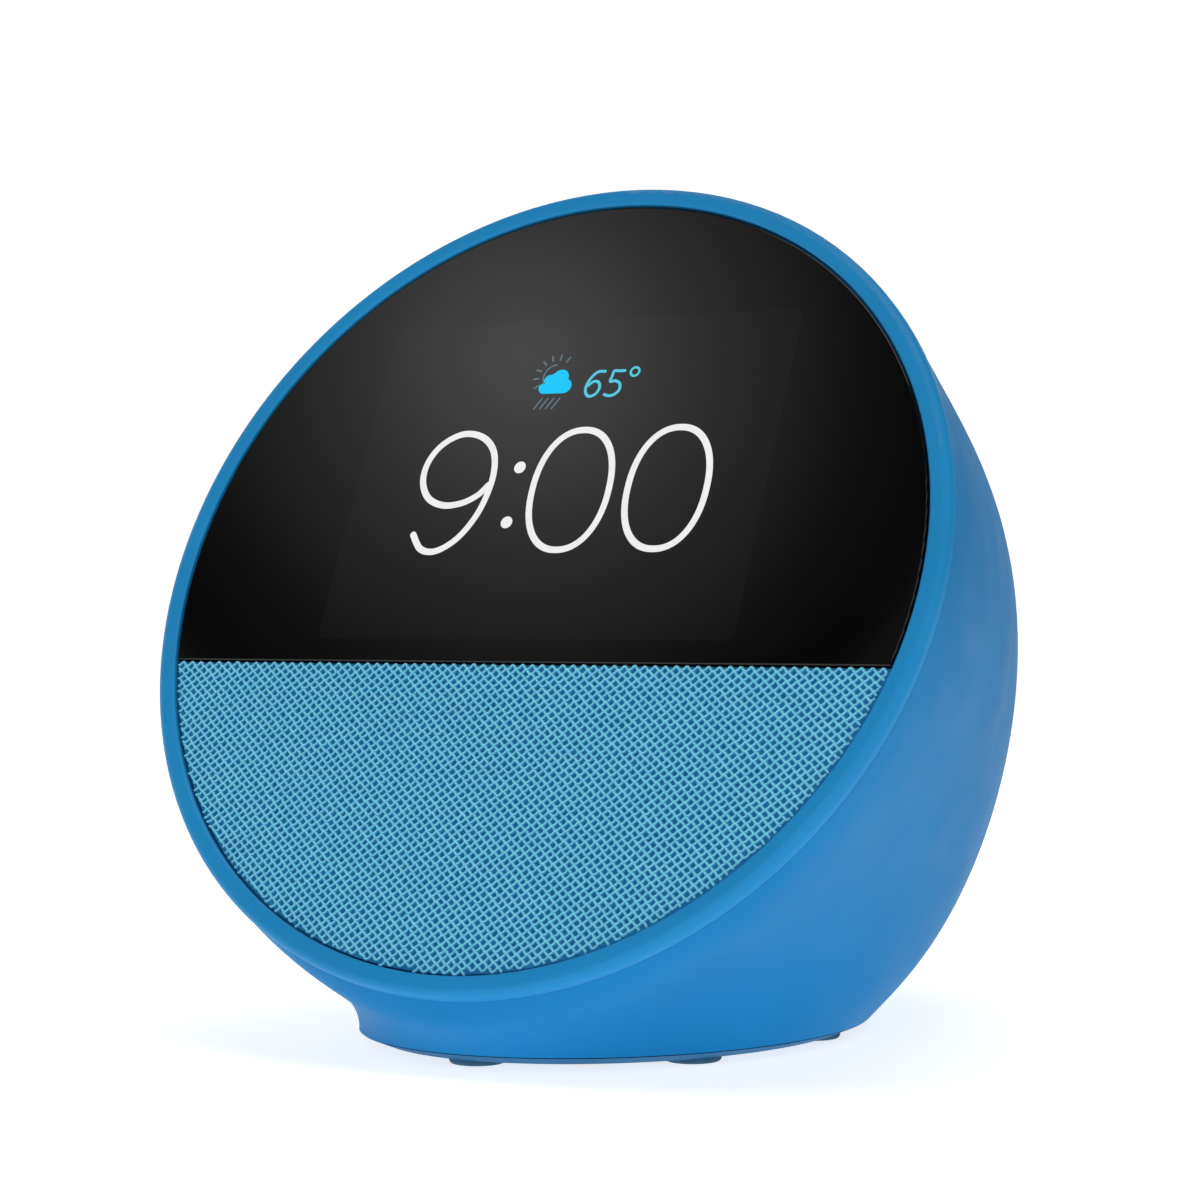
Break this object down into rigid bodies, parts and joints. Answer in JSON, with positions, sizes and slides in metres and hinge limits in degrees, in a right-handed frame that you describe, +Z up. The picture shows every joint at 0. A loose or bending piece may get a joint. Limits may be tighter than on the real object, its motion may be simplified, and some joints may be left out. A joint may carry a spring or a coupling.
{
  "type": "smart display",
  "caption": "Bedside smart display: round tilted glass and fabric face in a rounded shell on a small base, with press buttons on top, a speaker and a rear power inlet.",
  "frame": {"origin": "middle of the footprint of the whole object, on the surface it stands on", "axes": "+X to the viewer's right, +Y to the rear where the power inlet is, +Z up; the face looks along -Y and up"},
  "size_m": [0.113, 0.1185, 0.1114],
  "materials": {
    "shell_plastic": "satin moulded plastic, even fine grain",
    "ring_plastic": "satin moulded plastic, smooth rounded edge",
    "base_plastic": "matte moulded plastic",
    "button_plastic": "satin moulded plastic",
    "cover_glass": "polished, black-printed behind",
    "mask_ink": "black print",
    "display": "dark display panel",
    "backlight": "white diffuser in a thin frame",
    "speaker_fabric": "open knitted net, light threads",
    "dark_plastic": "black moulded plastic",
    "grille_plastic": "dark blue moulded plastic",
    "steel": "zinc-plated sheet",
    "screw_steel": "dark zinc-plated",
    "cast_weight": "as cast",
    "heat_sink_alloy": "extruded, bare",
    "circuit_board": "green solder resist",
    "chip_plastic": "black moulded packages",
    "rubber": "matte soft rubber",
    "foam": "soft foam",
    "cone_paper": "black coated paper",
    "magnet_metal": "plated steel pot around the magnet",
    "copper_coil": "varnished copper wire on a former",
    "flex_film": "amber film",
    "wire_sleeve": "soft red and black insulation",
    "pin_metal": "nickel plated"
  },
  "bodies": {
    "body": {"backlight_unit": "backlight", "base_cover": "base_plastic", "base_screws": "screw_steel", "base_weight": "cast_weight", "bezel_ring": "ring_plastic", "board_chips": "chip_plastic", "board_screws": "screw_steel", "bracket_screws": "screw_steel", "button_board": "circuit_board", "button_board_screws": "screw_steel", "button_flex": "flex_film", "button_switches": "chip_plastic", "cover_lens": "cover_glass", "dc_jack": "dark_plastic", "frame_screws": "screw_steel", "grille_fabric": "speaker_fabric", "heat_sink": "heat_sink_alloy", "inlet_collar": "dark_plastic", "inlet_pin": "pin_metal", "lcd_bracket": "steel", "lcd_flex": "flex_film", "lcd_panel": "display", "lens_mask": "mask_ink", "main_board": "circuit_board", "mic_boots": "rubber", "mid_frame": "dark_plastic", "power_board": "circuit_board", "power_lead": "wire_sleeve", "rear_shell": "shell_plastic", "rubber_feet": "rubber", "shield_can": "steel", "speaker_basket": "steel", "speaker_gasket": "foam", "speaker_grille": "grille_plastic", "speaker_lead": "wire_sleeve", "speaker_magnet": "magnet_metal", "speaker_surround": "rubber", "thermal_pad": "foam", "weight_screws": "screw_steel"},
    "cone": {"speaker_cone": "cone_paper", "dust_cap": "cone_paper", "voice_coil": "copper_coil"},
    "volume_down": {"volume_down_button": "button_plastic", "volume_down_plunger": "dark_plastic"},
    "mute": {"mute_button": "button_plastic", "mute_plunger": "dark_plastic"},
    "volume_up": {"volume_up_button": "button_plastic", "volume_up_plunger": "dark_plastic"}
  },
  "joints": [
    {"name": "cone_travel", "type": "slide", "parent": "body", "child": "cone", "axis": [0, -0.9011, 0.4337], "range_m": [-0.001, 0.001], "stiffness_N_per_m": 1500},
    {"name": "volume_down_press", "type": "slide", "parent": "body", "child": "volume_down", "axis": [0, -0.4563, -0.8898], "range_m": [0, 0.0006], "stiffness_N_per_m": 1500},
    {"name": "mute_press", "type": "slide", "parent": "body", "child": "mute", "axis": [0, -0.4563, -0.8898], "range_m": [0, 0.0006], "stiffness_N_per_m": 1500},
    {"name": "volume_up_press", "type": "slide", "parent": "body", "child": "volume_up", "axis": [0, -0.4563, -0.8898], "range_m": [0, 0.0006], "stiffness_N_per_m": 1500}
  ]
}
